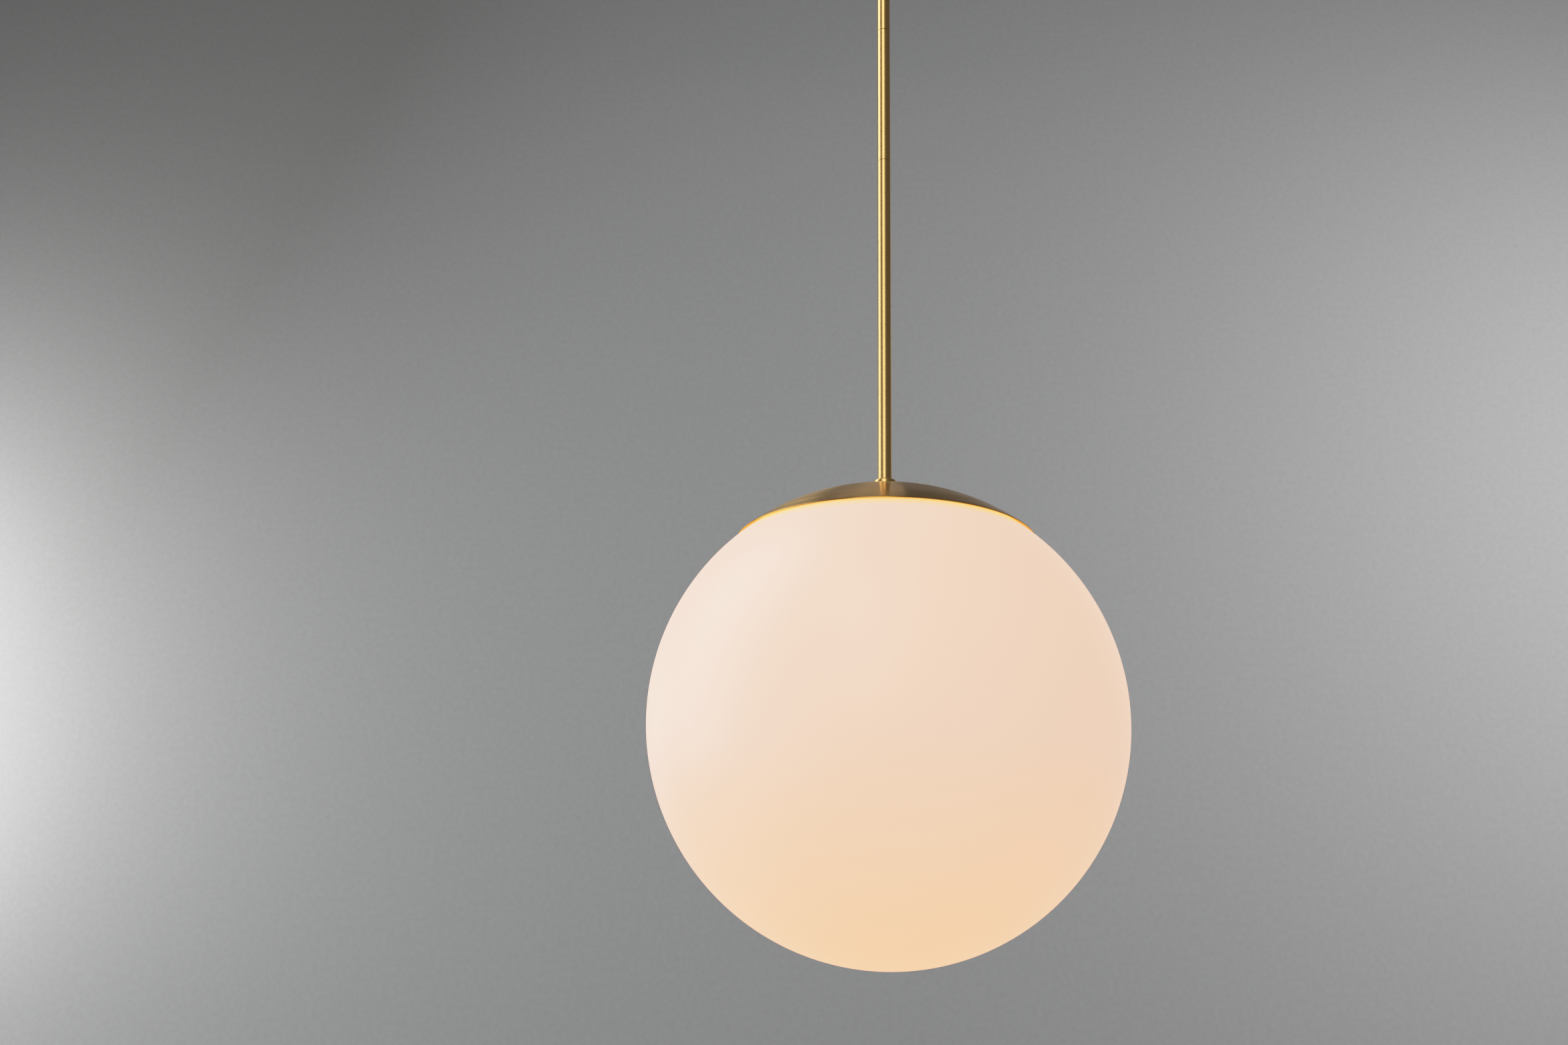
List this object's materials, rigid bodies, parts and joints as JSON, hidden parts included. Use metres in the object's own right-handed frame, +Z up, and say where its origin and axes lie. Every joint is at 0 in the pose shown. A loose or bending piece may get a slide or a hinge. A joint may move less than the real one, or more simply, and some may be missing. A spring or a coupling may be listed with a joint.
{
  "type": "pendant ceiling light",
  "caption": "Opal glass globe pendant under a close-fitting brass dome, hung on a jointed brass stem from a ball swivel and a round ceiling canopy.",
  "frame": {"origin": "centre of the ceiling face of the crossbar and canopy, where the light hangs from the ceiling", "axes": "+Z up, out of the ceiling face; the stem hangs along -Z; +X to the right and +Y away in the pictured view"},
  "size_m": [0.4064, 0.4064, 1.2586],
  "materials": {
    "satin_brass": "satin, circumferentially brushed, clear lacquered",
    "polished_brass": "fine satin, nearly polished, clear lacquered",
    "opal_glass": "smooth opal white, lit from within",
    "steel": "zinc plated",
    "aluminium": "rolled, bright",
    "porcelain": "white glaze",
    "bulb_plastic": "white, frosted",
    "nylon": "natural nylon",
    "silicone": "translucent pale silicone, matt",
    "cable_jacket": "matt black PVC",
    "insulation_black": "satin PVC",
    "insulation_white": "satin PVC",
    "green": "satin green",
    "red_plastic": "moulded, satin",
    "circuit_board": "white solder mask"
  },
  "bodies": {
    "ceiling": {"mounting_crossbar": "steel", "ground_screw": "green", "hanger_nipple": "steel", "hanger_locknut": "polished_brass", "canopy": "satin_brass", "swivel_socket": "satin_brass", "swivel_retainer": "polished_brass", "conductor_line": "insulation_black", "conductor_neutral": "insulation_white", "conductor_ground": "green", "wire_connector_line": "red_plastic", "wire_connector_neutral": "red_plastic"},
    "canopy_ring": {"canopy_ring": "polished_brass"},
    "swivel": {"swivel_seat": "nylon"},
    "stem": {"swivel_ball": "polished_brass", "stem_upper": "polished_brass", "stem_middle": "polished_brass", "stem_lower": "polished_brass", "stem_stud_top": "steel", "stem_stud_high": "steel", "stem_stud_low": "steel", "supply_cable": "cable_jacket", "holder_hub": "polished_brass", "holder_plate": "satin_brass", "holder_nipple": "steel", "holder_washer": "steel", "holder_nut": "steel", "lampholder_cap": "polished_brass", "lampholder_body": "porcelain", "screw_shell": "aluminium", "centre_contact": "polished_brass"},
    "globe": {"glass_globe": "opal_glass", "globe_edge_gasket": "silicone"},
    "latch_1": {"latch_arm_1": "steel", "latch_pad_1": "silicone", "latch_knob_1": "polished_brass"},
    "latch_2": {"latch_arm_2": "steel", "latch_pad_2": "silicone", "latch_knob_2": "polished_brass"},
    "latch_3": {"latch_arm_3": "steel", "latch_pad_3": "silicone", "latch_knob_3": "polished_brass"},
    "dome": {"dome_cap": "satin_brass", "dome_bushing": "nylon"},
    "collar": {"slip_collar": "polished_brass"},
    "collar_screw": {"collar_set_screw": "steel"},
    "bulb": {"bulb_envelope": "bulb_plastic", "bulb_housing": "bulb_plastic", "bulb_led_board": "circuit_board", "bulb_base": "aluminium", "bulb_contact": "polished_brass"}
  },
  "joints": [
    {"name": "swivel_turn", "type": "hinge", "parent": "ceiling", "child": "swivel", "pos_m": [0, 0, -0.036], "axis": [0, 0, 1], "range_deg": [-170, 170]},
    {"name": "swivel_tilt", "type": "hinge", "parent": "swivel", "child": "stem", "pos_m": [0, 0, -0.036], "axis": [1, 0, 0], "range_deg": [-20, 20]},
    {"name": "canopy_ring_turn", "type": "hinge", "parent": "ceiling", "child": "canopy_ring", "pos_m": [0, 0, -0.032], "axis": [0, 0, 1], "continuous": true},
    {"name": "globe_turn", "type": "hinge", "parent": "stem", "child": "globe", "pos_m": [0, 0, -1.0554], "axis": [0, 0, 1], "continuous": true},
    {"name": "latch_turn_1", "type": "hinge", "parent": "stem", "child": "latch_1", "pos_m": [0, 0.058, -0.8788], "axis": [0, 0, 1], "range_deg": [0, 90]},
    {"name": "latch_turn_2", "type": "hinge", "parent": "stem", "child": "latch_2", "pos_m": [-0.05023, -0.029, -0.8788], "axis": [0, 0, 1], "range_deg": [0, 90]},
    {"name": "latch_turn_3", "type": "hinge", "parent": "stem", "child": "latch_3", "pos_m": [0.05023, -0.029, -0.8788], "axis": [0, 0, 1], "range_deg": [0, 90]},
    {"name": "dome_lift", "type": "slide", "parent": "stem", "child": "dome", "axis": [0, 0, 1], "range_m": [0, 0.3]},
    {"name": "collar_slide", "type": "slide", "parent": "stem", "child": "collar", "axis": [0, 0, 1], "range_m": [0, 0.3]},
    {"name": "collar_screw_turn", "type": "hinge", "parent": "collar", "child": "collar_screw", "pos_m": [0, 0.0083, -0.8447], "axis": [0, 1, 0], "continuous": true},
    {"name": "bulb_unscrew", "type": "slide", "parent": "stem", "child": "bulb", "axis": [0, 0, -1], "range_m": [0, 0.024]}
  ],
  "couplings": [
    {"joint": "collar_slide", "follows": "dome_lift", "ratio": 1}
  ]
}
